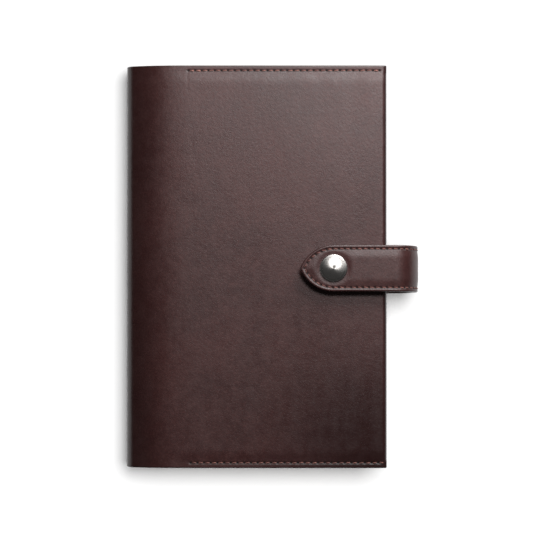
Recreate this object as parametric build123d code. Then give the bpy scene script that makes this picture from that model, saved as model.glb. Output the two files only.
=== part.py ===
"""A leather notebook cover with a snap strap, closed, lying on its back cover.

Millimetres. +Z is up, out of the front cover. +X points from the spine to the
fore-edge and the strap. +Y points to the head of the book. The origin is at the
middle of the bottom of the whole object's box.
"""

import math
import os

from build123d import *

# Driving dimensions of the cover
COVER_WIDTH = 141.4  # spine face to fore-edge
COVER_HEIGHT = 218.0
COVER_THICKNESS = 21.6
LEATHER = 1.5
POCKET = 2.6  # clear height inside a sleeve
SPINE_RADIUS = 6.5  # outer radius of the round spine
CURVE_START = 30.0  # from the spine face to where the flat panel begins to fall
SLEEVE_START = 33.0  # from the spine face to a sleeve's free edge

# Driving dimensions of the strap
STRAP_WIDTH = 25.0
STRAP_LAYER = 1.5
STRAP_CENTRE_Y = -1.0
LOOP_REACH = 17.1  # how far the loop stands out past the fore-edge
TAB_GAP = 3.2  # height of the closed snap between the cover and the tab
TAB_REACH = 46.9  # from the fore-edge to the tab's tip
TIP_LENGTH = 18.0  # length of the pointed end
TIP_ROUNDING = 1.8
STRAP_START_Z = 1.1  # underside of the strap where it leaves the back cover
STRAP_OUTSIDE = 1.2  # strap between the fore-edge and its first fold
TONGUE = 0.7  # thickness of the skived end inside the back cover
TONGUE_RECESS = 0.5
TONGUE_LENGTH = 42.0
STRAP_OVERLAP = 0.2  # where two lengths of the strap's end run into each other
ANCHOR_INSET = 3.0  # from the tongue's ends to the box seam
ANCHOR_SINK = 0.02  # anchor seam's height above the table

# Driving dimensions of the snap
SNAP_FROM_EDGE = 29.0
CAP_RADIUS = 7.5
CAP_RIM = 0.5
CAP_HEIGHT = 2.0
SHANK_RADIUS = 1.9
SOCKET_FLANGE_RADIUS = 6.2
SOCKET_RADIUS = 5.0
SOCKET_BORE = 3.4
SOCKET_LIFT = 0.6  # socket's mouth above the front cover
STUD_BASE_RADIUS = 5.5
STUD_BASE = 0.5
STUD_NECK_RADIUS = 2.75
STUD_HEAD_RADIUS = 3.15
STUD_HEIGHT = 2.5
SPRING_LIP = 0.1  # socket metal below the spring
POST_RADIUS = 1.2
POST_DISC = 0.25
METAL = 0.5
SPRING_WIRE = 0.5
FIT = 0.05  # radial clearance of a running fit
CUT_PAST = 1.0  # how far a cutting tool runs past the material

# Driving dimensions of the seams
COVER_PITCH = 3.55
SEAM_INSET = 2.85
STRAP_PITCH = 3.2
STRAP_INSET = 2.1
THREAD_WIDTH = 0.55
THREAD_HEIGHT = 0.3
GROOVE_WIDTH = 1.0
GROOVE_DEPTH = 0.35
STITCH_SHARE = 0.76  # visible length of a stitch, as a share of the pitch
SLANT = 8.0
ROW_MARGIN = 0.5  # between a cover seam's end and the end of its leather

# Driving dimensions of the notebook
BOARD = 2.0
BOARD_WIDTH = 113.0
BOARD_HEIGHT = 210.0
BOARD_FROM_EDGE = 3.5
NOTEBOOK_WIDTH = 130.0
PAGE_SQUARE = 2.5  # how far the boards stand out past the pages
PAGE_GAP = 0.2
ENDPAPER = 0.2
SPINE_BOARD = 1.6
SPINE_BOARD_HEIGHT = 10.4
HOLLOW_BACK = 3.4  # between the spine board and the pages
ENDPAPER_MARGIN = 2.0  # board that shows round an endpaper
COVERING = 0.1  # slack inside a sleeve over the board and endpaper

# Worked out from the above
SPINE_X = -(COVER_WIDTH + LOOP_REACH + THREAD_HEIGHT) / 2
EDGE_X = SPINE_X + COVER_WIDTH
MIDDLE_Z = COVER_THICKNESS / 2
PANEL = 2 * LEATHER + POCKET
FOLD_RADIUS = PANEL / 2
SLEEVE_X = SPINE_X + SLEEVE_START
CURVE_RADIUS = (
    (CURVE_START - SPINE_RADIUS) ** 2 + MIDDLE_Z**2 - SPINE_RADIUS**2
) / (COVER_THICKNESS - 2 * SPINE_RADIUS)
CURVE_ANGLE = math.degrees(
    math.asin((CURVE_START - SPINE_RADIUS) / (CURVE_RADIUS - SPINE_RADIUS))
)
HINGE_ANGLE = 45.0
STRAP = 2 * STRAP_LAYER
TAB_TOP = COVER_THICKNESS + TAB_GAP + STRAP
TAB_UNDER = COVER_THICKNESS + TAB_GAP
LOOP_RADIUS = (TAB_TOP - STRAP_START_Z) / 2
LOOP_X = EDGE_X + LOOP_REACH - LOOP_RADIUS
LOWER_FOLD_X = EDGE_X + STRAP_OUTSIDE
TIP_X = EDGE_X - TAB_REACH
TIP_RADIUS = (TIP_LENGTH**2 + (STRAP_WIDTH / 2) ** 2) / STRAP_WIDTH
SNAP_X = EDGE_X - SNAP_FROM_EDGE
BOARD_X = EDGE_X - BOARD_FROM_EDGE
BOARD_CLEARANCE = POCKET - BOARD - ENDPAPER - COVERING
PAGES = COVER_THICKNESS - 2 * PANEL - PAGE_GAP
NOTEBOOK_SPINE_X = BOARD_X - NOTEBOOK_WIDTH


# Paths: a start point, a heading in degrees, and steps of (length, turn in degrees)
def arc_step(radius, turn):
    """A step that turns by an angle on a radius."""
    return (radius * math.radians(abs(turn)), turn)


def station(path, distance):
    """The point and the heading at a distance along a path."""
    (x, z), heading, steps = path
    for length, turn in steps:
        part = min(distance, length)
        swing = turn * part / length
        chord = part
        if turn:
            radius = length / math.radians(turn)
            chord = 2 * radius * math.sin(math.radians(swing) / 2)
        toward = math.radians(heading + swing / 2)
        x += chord * math.cos(toward)
        z += chord * math.sin(toward)
        heading += swing
        distance -= part
        if distance <= 0:
            break
    return x, z, heading


def path_length(path):
    """The whole length of a path."""
    return sum(length for length, _ in path[2])


def beside(path, distance, offset):
    """The point that lies to the left of the path by an offset."""
    x, z, heading = station(path, distance)
    angle = math.radians(heading)
    return x - offset * math.sin(angle), z + offset * math.cos(angle)


def side(path, offset, place):
    """The edges of a path moved to its left by an offset."""
    edges = []
    done = 0.0
    for length, turn in path[2]:
        ends = [place(*beside(path, done + part * length, offset)) for part in (0, 0.5, 1)]
        if turn:
            edges.append(Edge.make_three_point_arc(*ends))
        else:
            edges.append(Edge.make_line(ends[0], ends[2]))
        done += length
    return edges


def band(path, near, far, width, centre_y):
    """A strip that follows a path in the XZ plane, between two offsets to its left."""
    low_y = centre_y - width / 2

    def place(x, z):
        return (x, low_y, z)

    total = path_length(path)
    edges = side(path, near, place)
    edges += side(path, far, place)
    for distance in (0, total):
        ends = [place(*beside(path, distance, offset)) for offset in (near, far)]
        edges.append(Edge.make_line(*ends))
    return extrude(Face(Wire(edges)), amount=width, dir=(0, 1, 0))


def block(low, high):
    """A box between two opposite corners."""
    sizes = [b - a for a, b in zip(low, high)]
    middle = [(a + b) / 2 for a, b in zip(low, high)]
    return Pos(*middle) * Box(*sizes)


def disc(radius, low_z, high_z, bore=0.0):
    """A disc or a ring about the snap's axis."""
    height = high_z - low_z
    shape = Cylinder(radius, height)
    if bore:
        shape -= Cylinder(bore, height)
    return Pos(SNAP_X, STRAP_CENTRE_Y, (low_z + high_z) / 2) * shape


def turned_over(shape):
    """The same piece on the other cover: mirrored about the middle of the thickness."""
    middle = Plane(origin=(0, 0, MIDDLE_Z), z_dir=(0, 0, 1))
    solids = [solid.mirror(middle) for solid in shape.solids()]
    return solids[0] if len(solids) == 1 else Compound(children=solids)


def stitch(pitch):
    """One visible stitch, standing on the XY plane."""
    size = (pitch * STITCH_SHARE, THREAD_WIDTH, THREAD_HEIGHT)
    return Box(*size, align=(Align.CENTER, Align.CENTER, Align.MIN))


# The leather wrap: one long piece, folded in at both fore-edges to make the sleeves
def front_path():
    """The outer face of the front half, from the sleeve's free edge to the front fold line."""
    start = (SLEEVE_X, COVER_THICKNESS - PANEL)
    fold_x = EDGE_X - FOLD_RADIUS
    steps = [
        (fold_x - SLEEVE_X, 0),
        arc_step(FOLD_RADIUS, 180),
        (fold_x - SPINE_X - CURVE_START, 0),
        arc_step(CURVE_RADIUS, CURVE_ANGLE),
        arc_step(SPINE_RADIUS, HINGE_ANGLE - CURVE_ANGLE),
    ]
    return (start, 0, steps)


def spine_path():
    """The outer face of the round spine, from the front fold line to the back one."""
    x, z, heading = station(front_path(), path_length(front_path()))
    return ((x, z), heading, [arc_step(SPINE_RADIUS, 180 - 2 * HINGE_ANGLE)])


def row_start_and_count():
    """The middle of a cover seam's first stitch, and how many stitches it has."""
    length = EDGE_X - FOLD_RADIUS - SLEEVE_X - 2 * ROW_MARGIN
    count = int(length / COVER_PITCH)
    return SLEEVE_X + ROW_MARGIN + COVER_PITCH / 2, count


def grooves():
    """The shallow grooves on both faces of the front cover, where the thread lies sunk."""
    cuts = []
    low_x = SLEEVE_X - CUT_PAST
    high_x = EDGE_X - FOLD_RADIUS
    seam_y = COVER_HEIGHT / 2 - SEAM_INSET
    for y in (seam_y, -seam_y):
        for low_z in (COVER_THICKNESS - GROOVE_DEPTH, COVER_THICKNESS - PANEL):
            low = (low_x, y - GROOVE_WIDTH / 2, low_z)
            high = (high_x, y + GROOVE_WIDTH / 2, low_z + GROOVE_DEPTH)
            cuts.append(block(low, high))
    return cuts


def make_front_leather():
    shape = band(front_path(), 0, LEATHER, COVER_HEIGHT, 0)
    for cut in grooves():
        shape -= cut
    return shape - disc(POST_RADIUS + FIT, MIDDLE_Z, COVER_THICKNESS + CUT_PAST)


def make_back_leather():
    """The back half, with a slit in its fore-edge fold and a skived bed for the strap's end."""
    shape = band(front_path(), 0, LEATHER, COVER_HEIGHT, 0)
    for cut in grooves():
        shape -= cut
    shape = turned_over(shape)
    low_y = STRAP_CENTRE_Y - STRAP_WIDTH / 2 - FIT
    high_y = STRAP_CENTRE_Y + STRAP_WIDTH / 2 + FIT
    slit_low = (EDGE_X - FOLD_RADIUS, low_y, STRAP_START_Z - FIT)
    slit_high = (EDGE_X + CUT_PAST, high_y, STRAP_START_Z + STRAP + FIT)
    bed_low = (EDGE_X - FOLD_RADIUS - TONGUE_LENGTH, low_y, LEATHER - TONGUE_RECESS)
    bed_high = (EDGE_X - FOLD_RADIUS + 2 * STRAP_OVERLAP, high_y, LEATHER + TONGUE)
    return shape - block(slit_low, slit_high) - block(bed_low, bed_high)


def make_spine_leather():
    return band(spine_path(), 0, LEATHER, COVER_HEIGHT, 0)


def make_cover_stitches(y):
    """One seam of the front cover: the stitches on its outer face and on its sleeve."""
    start_x, count = row_start_and_count()
    lowest = COVER_THICKNESS - PANEL + GROOVE_DEPTH - THREAD_HEIGHT
    pieces = []
    for base_z in (COVER_THICKNESS - GROOVE_DEPTH, lowest):
        for i in range(count):
            x = start_x + i * COVER_PITCH
            pieces.append(Pos(x, y, base_z) * Rot(0, 0, SLANT) * stitch(COVER_PITCH))
    return Compound(children=pieces)


# The notebook that the cover holds
def make_front_board():
    low_z = COVER_THICKNESS - LEATHER - BOARD_CLEARANCE - BOARD
    low = (BOARD_X - BOARD_WIDTH, -BOARD_HEIGHT / 2, low_z)
    high = (BOARD_X, BOARD_HEIGHT / 2, low_z + BOARD)
    return block(low, high)


def make_front_endpaper():
    high_z = COVER_THICKNESS - LEATHER - BOARD_CLEARANCE - BOARD
    half = BOARD_HEIGHT / 2 - ENDPAPER_MARGIN
    low = (BOARD_X - BOARD_WIDTH + ENDPAPER_MARGIN, -half, high_z - ENDPAPER)
    return block(low, (BOARD_X - ENDPAPER_MARGIN, half, high_z))


def make_spine_board():
    half = SPINE_BOARD_HEIGHT / 2
    low = (NOTEBOOK_SPINE_X, -BOARD_HEIGHT / 2, MIDDLE_Z - half)
    high = (NOTEBOOK_SPINE_X + SPINE_BOARD, BOARD_HEIGHT / 2, MIDDLE_Z + half)
    return block(low, high)


def make_page_block():
    half = BOARD_HEIGHT / 2 - PAGE_SQUARE
    low = (NOTEBOOK_SPINE_X + SPINE_BOARD + HOLLOW_BACK, -half, PANEL)
    high = (BOARD_X - PAGE_SQUARE, half, PANEL + PAGES)
    return block(low, high)


# The strap: two layers, from the back cover round the fore-edge to the tab
def lower_loop_path():
    steps = [(LOOP_X - LOWER_FOLD_X, 0), arc_step(LOOP_RADIUS, 90)]
    return ((LOWER_FOLD_X, STRAP_START_Z), 0, steps)


def upper_loop_path():
    middle = (LOOP_X + LOOP_RADIUS, STRAP_START_Z + LOOP_RADIUS)
    return (middle, 90, [arc_step(LOOP_RADIUS, 90)])


def make_loop_layer(path, layer):
    """One layer of a loop's half: layer 0 is the outer leather, layer 1 the lining."""
    near = layer * STRAP_LAYER
    return band(path, near, near + STRAP_LAYER, STRAP_WIDTH, STRAP_CENTRE_Y)


def make_strap_base():
    """The outer leather's end: through the slit, then skived thin and sewn down inside."""
    inside_x = EDGE_X - FOLD_RADIUS
    low_y = STRAP_CENTRE_Y - STRAP_WIDTH / 2
    high_y = STRAP_CENTRE_Y + STRAP_WIDTH / 2
    bed_z = LEATHER - TONGUE_RECESS
    tongue_low = (inside_x - TONGUE_LENGTH + FIT, low_y, bed_z)
    tongue = block(tongue_low, (inside_x + 2 * STRAP_OVERLAP - FIT, high_y, bed_z + TONGUE))
    run_low = (inside_x + STRAP_OVERLAP, low_y, STRAP_START_Z)
    run_high = (LOWER_FOLD_X, high_y, STRAP_START_Z + STRAP_LAYER)
    return tongue + block(run_low, run_high)


def make_strap_base_lining():
    low_z = STRAP_START_Z + STRAP_LAYER
    low_y = STRAP_CENTRE_Y - STRAP_WIDTH / 2
    high_y = STRAP_CENTRE_Y + STRAP_WIDTH / 2
    low = (EDGE_X - FOLD_RADIUS + STRAP_OVERLAP, low_y, low_z)
    return block(low, (LOWER_FOLD_X, high_y, low_z + STRAP_LAYER))


def tab_outline():
    """The tab seen from above, with its two-arc point, in the XY plane."""
    half = STRAP_WIDTH / 2
    tangent_x = TIP_X + TIP_LENGTH
    swing = math.asin(TIP_LENGTH / TIP_RADIUS) / 2
    mid_x = tangent_x - TIP_RADIUS * math.sin(swing)
    mid_y = half - TIP_RADIUS * (1 - math.cos(swing))
    edges = [Edge.make_line((LOOP_X, -half), (LOOP_X, half))]
    for sign in (1, -1):
        corner = (tangent_x, sign * half)
        edges.append(Edge.make_line((LOOP_X, sign * half), corner))
        edges.append(Edge.make_three_point_arc(corner, (mid_x, sign * mid_y), (TIP_X, 0)))
    face = Face(Wire(edges))
    tip = face.vertices().sort_by(Axis.X)[0]
    return face.fillet_2d(TIP_ROUNDING, [tip])


def make_tab_layer(layer):
    """One layer of the tab, with the snap's hole: layer 0 is the outer leather."""
    low_z = TAB_TOP - (layer + 1) * STRAP_LAYER
    shape = extrude(Pos(0, STRAP_CENTRE_Y, low_z) * tab_outline(), amount=STRAP_LAYER)
    return shape - disc(SHANK_RADIUS + FIT, low_z - CUT_PAST, TAB_TOP + CUT_PAST)


def make_loop_stitches(path):
    """The seam along both edges of a half loop."""
    count = int(path_length(path) / STRAP_PITCH)
    first = (path_length(path) - (count - 1) * STRAP_PITCH) / 2
    pieces = []
    for i in range(count):
        x, z, heading = station(path, first + i * STRAP_PITCH)
        angle = math.radians(heading)
        along = (math.cos(angle), 0, math.sin(angle))
        outward = (math.sin(angle), 0, -math.cos(angle))
        for sign in (1, -1):
            y = STRAP_CENTRE_Y + sign * (STRAP_WIDTH / 2 - STRAP_INSET)
            seat = Plane(origin=(x, y, z), x_dir=along, z_dir=outward)
            pieces.append(seat * Rot(0, 0, SLANT) * stitch(STRAP_PITCH))
    return Compound(children=pieces)


def make_tab_stitches():
    """The seam along the tab's two sides and round its point."""
    inner_radius = TIP_RADIUS - STRAP_INSET
    drop = TIP_RADIUS - STRAP_WIDTH / 2
    swing = math.degrees(math.acos(drop / inner_radius))
    start = (LOOP_X, STRAP_WIDTH / 2 - STRAP_INSET)
    straight = LOOP_X - TIP_X - TIP_LENGTH
    path = (start, 180, [(straight, 0), arc_step(inner_radius, swing)])
    count = int(path_length(path) / STRAP_PITCH)
    pieces = []
    for i in range(count):
        x, y, heading = station(path, (i + 0.5) * path_length(path) / count)
        for sign in (1, -1):
            seat = Pos(x, STRAP_CENTRE_Y + sign * y, TAB_TOP)
            turn = Rot(0, 0, sign * heading + SLANT)
            pieces.append(seat * turn * stitch(STRAP_PITCH))
    return Compound(children=pieces)


def make_anchor_stitches():
    """The box seam that holds the strap's end, sunk into the back cover's outer face."""
    long_side = TONGUE_LENGTH - 2 * ANCHOR_INSET
    short_side = STRAP_WIDTH - 2 * STRAP_INSET
    middle_x = EDGE_X - FOLD_RADIUS - ROW_MARGIN - TONGUE_LENGTH / 2
    middle = Pos(middle_x, STRAP_CENTRE_Y, ANCHOR_SINK)
    pieces = []
    for along, across, turn in ((long_side, short_side, 0), (short_side, long_side, 90)):
        count = int(along / STRAP_PITCH)
        for i in range(count):
            shift = (i - (count - 1) / 2) * STRAP_PITCH
            for sign in (1, -1):
                seat = Rot(0, 0, turn) * Pos(shift, sign * across / 2, 0)
                pieces.append(middle * seat * stitch(STRAP_PITCH))
    return Compound(children=pieces)


def grown(piece):
    """The pocket in the leather that a sunk stitch lies in."""
    box = piece.bounding_box()
    low = (box.min.X - FIT, box.min.Y - FIT, box.min.Z - CUT_PAST)
    high = (box.max.X + FIT, box.max.Y + FIT, box.max.Z)
    return block(low, high)


# The snap
def make_snap_cap():
    """The domed cap, with the tubular shank that is flared into the socket."""
    bulge = CAP_HEIGHT - CAP_RIM
    dome_radius = (CAP_RADIUS**2 + bulge**2) / (2 * bulge)
    top_z = TAB_TOP + CAP_HEIGHT
    ball = Pos(SNAP_X, STRAP_CENTRE_Y, top_z - dome_radius) * Sphere(dome_radius)
    cap = disc(CAP_RADIUS, TAB_TOP, top_z) & ball
    return cap + disc(SHANK_RADIUS, TAB_UNDER - METAL, TAB_TOP)


def make_snap_socket():
    """The socket under the tab: a flange against the lining and a ring round the stud."""
    mouth_z = COVER_THICKNESS + SOCKET_LIFT
    flange = disc(SOCKET_FLANGE_RADIUS, TAB_UNDER - METAL, TAB_UNDER, SHANK_RADIUS)
    ring = disc(SOCKET_RADIUS, mouth_z, TAB_UNDER - METAL, SOCKET_BORE)
    return flange + ring


def make_snap_spring():
    """The wire ring in the socket that grips under the stud's head."""
    low_z = COVER_THICKNESS + SOCKET_LIFT + SPRING_LIP
    bore = STUD_NECK_RADIUS + FIT
    return disc(SOCKET_BORE, low_z, low_z + SPRING_WIRE, bore)


def make_snap_stud():
    """The stud on the front cover: a base, a neck and a wider head."""
    base_z = COVER_THICKNESS + STUD_BASE
    head_z = COVER_THICKNESS + SOCKET_LIFT + SPRING_LIP + SPRING_WIRE + FIT
    top_z = COVER_THICKNESS + STUD_HEIGHT
    base = disc(STUD_BASE_RADIUS, COVER_THICKNESS, base_z)
    neck = disc(STUD_NECK_RADIUS, base_z, head_z)
    head = disc(STUD_HEAD_RADIUS, head_z, top_z)
    bore = disc(POST_RADIUS, COVER_THICKNESS - CUT_PAST, top_z - METAL)
    return base + neck + head - bore


def make_snap_post():
    """The rivet that holds the stud, with its flat disc inside the front cover."""
    low_z = COVER_THICKNESS - LEATHER - POST_DISC
    flat = disc(STUD_BASE_RADIUS, low_z, low_z + POST_DISC)
    return flat + disc(POST_RADIUS, low_z, COVER_THICKNESS + STUD_HEIGHT - METAL)


def make_parts():
    """Every piece of the object, by its node's name."""
    seam_y = COVER_HEIGHT / 2 - SEAM_INSET
    anchor = make_anchor_stitches()
    anchor_cuts = [grown(piece) for piece in anchor.solids()]
    return {
        "front_leather": make_front_leather(),
        "back_leather": make_back_leather().cut(*anchor_cuts),
        "spine_leather": make_spine_leather(),
        "front_head_stitches": make_cover_stitches(seam_y),
        "front_tail_stitches": make_cover_stitches(-seam_y),
        "back_head_stitches": turned_over(make_cover_stitches(seam_y)),
        "back_tail_stitches": turned_over(make_cover_stitches(-seam_y)),
        "notebook_front_board": make_front_board(),
        "notebook_back_board": turned_over(make_front_board()),
        "notebook_spine_board": make_spine_board(),
        "notebook_front_endpaper": make_front_endpaper(),
        "notebook_back_endpaper": turned_over(make_front_endpaper()),
        "notebook_pages": make_page_block(),
        "strap_base_leather": make_strap_base(),
        "strap_base_lining": make_strap_base_lining(),
        "strap_anchor_stitches": anchor,
        "strap_lower_leather": make_loop_layer(lower_loop_path(), 0),
        "strap_lower_lining": make_loop_layer(lower_loop_path(), 1),
        "strap_lower_stitches": make_loop_stitches(lower_loop_path()),
        "strap_upper_leather": make_loop_layer(upper_loop_path(), 0),
        "strap_upper_lining": make_loop_layer(upper_loop_path(), 1),
        "strap_upper_stitches": make_loop_stitches(upper_loop_path()),
        "strap_tab_leather": make_tab_layer(0),
        "strap_tab_lining": make_tab_layer(1),
        "strap_tab_stitches": make_tab_stitches(),
        "snap_cap": make_snap_cap(),
        "snap_socket": make_snap_socket(),
        "snap_spring": make_snap_spring(),
        "snap_stud": make_snap_stud(),
        "snap_post": make_snap_post(),
    }


os.makedirs("parts", exist_ok=True)
for node, shape in make_parts().items():
    export_step(shape, f"parts/{node}.step")
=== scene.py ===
"""Looks for the leather notebook cover: leather, strap, seams, snap and notebook.

The outlines repeat the CAD part's dimensions. Lengths here are in millimetres
and become metres where a mesh is made.
"""

import random
from math import acos, asin, cos, degrees, dist, exp, hypot, pi, radians, sin, sqrt

import bmesh
import bpy
from mathutils import Matrix, Vector, noise


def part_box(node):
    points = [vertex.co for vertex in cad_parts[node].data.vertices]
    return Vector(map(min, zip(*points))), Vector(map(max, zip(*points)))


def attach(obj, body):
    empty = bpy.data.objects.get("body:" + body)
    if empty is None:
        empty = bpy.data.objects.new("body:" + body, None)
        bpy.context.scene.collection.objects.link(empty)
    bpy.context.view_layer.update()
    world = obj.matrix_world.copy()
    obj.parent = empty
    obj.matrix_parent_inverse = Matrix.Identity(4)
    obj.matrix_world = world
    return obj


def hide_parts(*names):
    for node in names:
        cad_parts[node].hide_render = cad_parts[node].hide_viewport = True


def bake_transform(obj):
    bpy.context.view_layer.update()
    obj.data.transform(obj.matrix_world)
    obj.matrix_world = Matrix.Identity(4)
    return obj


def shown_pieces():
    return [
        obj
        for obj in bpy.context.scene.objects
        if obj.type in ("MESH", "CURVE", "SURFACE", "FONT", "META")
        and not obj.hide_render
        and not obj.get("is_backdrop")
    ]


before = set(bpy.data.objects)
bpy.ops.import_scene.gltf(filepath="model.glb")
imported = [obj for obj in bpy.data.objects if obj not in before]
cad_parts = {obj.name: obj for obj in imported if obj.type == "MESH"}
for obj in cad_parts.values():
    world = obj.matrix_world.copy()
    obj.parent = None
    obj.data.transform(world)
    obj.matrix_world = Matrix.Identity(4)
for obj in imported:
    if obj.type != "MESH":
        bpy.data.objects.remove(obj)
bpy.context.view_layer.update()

MM = 0.001

# The cover, as in the CAD part
COVER_HEIGHT = 218.0
THICKNESS = 21.6
LEATHER = 1.5
PANEL = 5.6
SPINE_X = -79.4
EDGE_X = 62.0
CURVE_START = 30.0
SLEEVE_START = 33.0
SPINE_RADIUS = 6.5
FOLD_RADIUS = PANEL / 2
MIDDLE_Z = THICKNESS / 2
SLEEVE_X = SPINE_X + SLEEVE_START
FLAT_X = SPINE_X + CURVE_START
FOLD_X = EDGE_X - FOLD_RADIUS
CURVE_RADIUS = ((CURVE_START - SPINE_RADIUS) ** 2 + MIDDLE_Z**2 - SPINE_RADIUS**2) / (
    THICKNESS - 2 * SPINE_RADIUS
)
CURVE_ANGLE = degrees(asin((CURVE_START - SPINE_RADIUS) / (CURVE_RADIUS - SPINE_RADIUS)))

# The strap and the snap, as in the CAD part
STRAP_Y = -1.0
STRAP_HALF = 12.5
STRAP_SKEW = 1.1
ROOT_Y = STRAP_Y - STRAP_SKEW
STRAP_LAYER = 1.5
STRAP_START_Z = 1.1
LOOP_RADIUS = 13.35
LOOP_X = 65.75
TAB_TOP = STRAP_START_Z + 2 * LOOP_RADIUS
TAB_UNDER = TAB_TOP - 2 * STRAP_LAYER
TIP_X = 15.1
TIP_LENGTH = 18.0
TIP_ARC = (TIP_LENGTH**2 + STRAP_HALF**2) / (2 * STRAP_HALF)
TIP_ROUNDING = 1.8
SNAP_X = 33.0
TONGUE_X = 17.7
NOTEBOOK_X = EDGE_X - 133.5

# Seams
SEAM_Y = COVER_HEIGHT / 2 - 2.85
# The head's and the tail's seam: side, first hole, pitch and number of stitches
SEAM_ROWS = ((1, -45.36, 3.565, 29), (-1, -44.1, 3.62, 29))
STRAP_INSET = 2.1
STRAP_PITCH = 3.2
STRAP_SEAM_X = 63.05
THREAD_RADIUS = 0.27

# How the leather is worked
PANEL_DROP = 0.40
SLEEVE_RISE = 2.15
SEAM_GROOVE = 0.12
HOLE_DENT = 0.42
SLEEVE_STEP = 0.14


def smooth(value, low, high):
    """0 below low, 1 above high, and a smooth step between."""
    share = min(1.0, max(0.0, (value - low) / (high - low)))
    return share * share * (3 - 2 * share)


def bell(value, width):
    """A bump of height 1 at 0."""
    return exp(-((value / width) ** 2))


# Paths: a start point, a heading in degrees, and steps of (length, turn in degrees)
def arc_step(radius, turn):
    """A step that turns by an angle on a radius."""
    return (radius * radians(abs(turn)), turn)


def station(path, distance):
    """The point and the heading at a distance along a path."""
    (x, z), heading, steps = path
    for length, turn in steps:
        part = min(distance, length)
        swing = turn * part / length
        chord = part
        if turn:
            radius = length / radians(turn)
            chord = 2 * radius * sin(radians(swing) / 2)
        toward = radians(heading + swing / 2)
        x += chord * cos(toward)
        z += chord * sin(toward)
        heading += swing
        distance -= part
        if distance <= 0:
            break
    return x, z, heading


def beside(path, distance, offset):
    """The point that lies to the left of the path by an offset."""
    x, z, heading = station(path, distance)
    angle = radians(heading)
    return x - offset * sin(angle), z + offset * cos(angle)


def spaced(start, end, step):
    """Evenly spaced values from start up to but not including end."""
    count = max(1, round((end - start) / step))
    return [start + (end - start) * i / count for i in range(count)]


# Meshes
def add_object(name, data):
    """A new object in the scene."""
    obj = bpy.data.objects.new(name, data)
    bpy.context.scene.collection.objects.link(obj)
    return obj


def make_object(name, points, faces, materials, face_materials=None, attributes=None):
    """A smooth-shaded object from points in millimetres."""
    mesh = bpy.data.meshes.new(name)
    mesh.from_pydata([(x * MM, y * MM, z * MM) for x, y, z in points], [], faces)
    for material in materials:
        mesh.materials.append(material)
    if face_materials:
        mesh.polygons.foreach_set("material_index", face_materials)
    for key, values in (attributes or {}).items():
        mesh.attributes.new(key, "FLOAT", "POINT").data.foreach_set("value", values)
    mesh.polygons.foreach_set("use_smooth", [True] * len(mesh.polygons))
    mesh.validate()
    mesh.update()
    mesh.set_sharp_from_angle(angle=radians(50))
    return add_object(name, mesh)


def make_worked(name, corners, faces, materials, kinds):
    """An object from corners that are each (point, painted shade in holes and grooves, burnish, painted shade
    and darkening).
    """
    points, painted_shades, burnish, deep = zip(*corners)
    painted = {"painted_shade": painted_shades, "burnish": burnish, "painted_shade_and_darkening": deep}
    return make_object(name, points, faces, materials, kinds, painted)


def skin(rings):
    """Faces that join closed rings of equal size in a row, without end caps."""
    size = len(rings[0])
    faces = []
    for near, far in zip(rings, rings[1:]):
        for i in range(size):
            j = (i + 1) % size
            faces.append((near[i], near[j], far[j], far[i]))
    return faces


def cap_quads(ring):
    """Faces across a ring whose second half runs back beside its first half."""
    last = len(ring) - 1
    return [(ring[i], ring[i + 1], ring[last - i - 1], ring[last - i]) for i in range(last // 2)]


def flipped(faces):
    """The same faces with their other side outwards."""
    return [face[::-1] for face in faces]


def place(obj, nodes, body=None, bend=None):
    """Hides the CAD nodes that a piece replaces; hangs the piece on a body's empty, or bakes a bending
    piece's transform into its mesh.
    """
    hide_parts(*nodes)
    if bend:
        first, second, start, end = bend
        start, end = ([c * MM for c in point] for point in (start, end))
        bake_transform(obj)
    else:
        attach(obj, body)


# Materials
def scaled(colour, share):
    """A colour made lighter or darker."""
    return tuple(share * c for c in colour)


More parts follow.
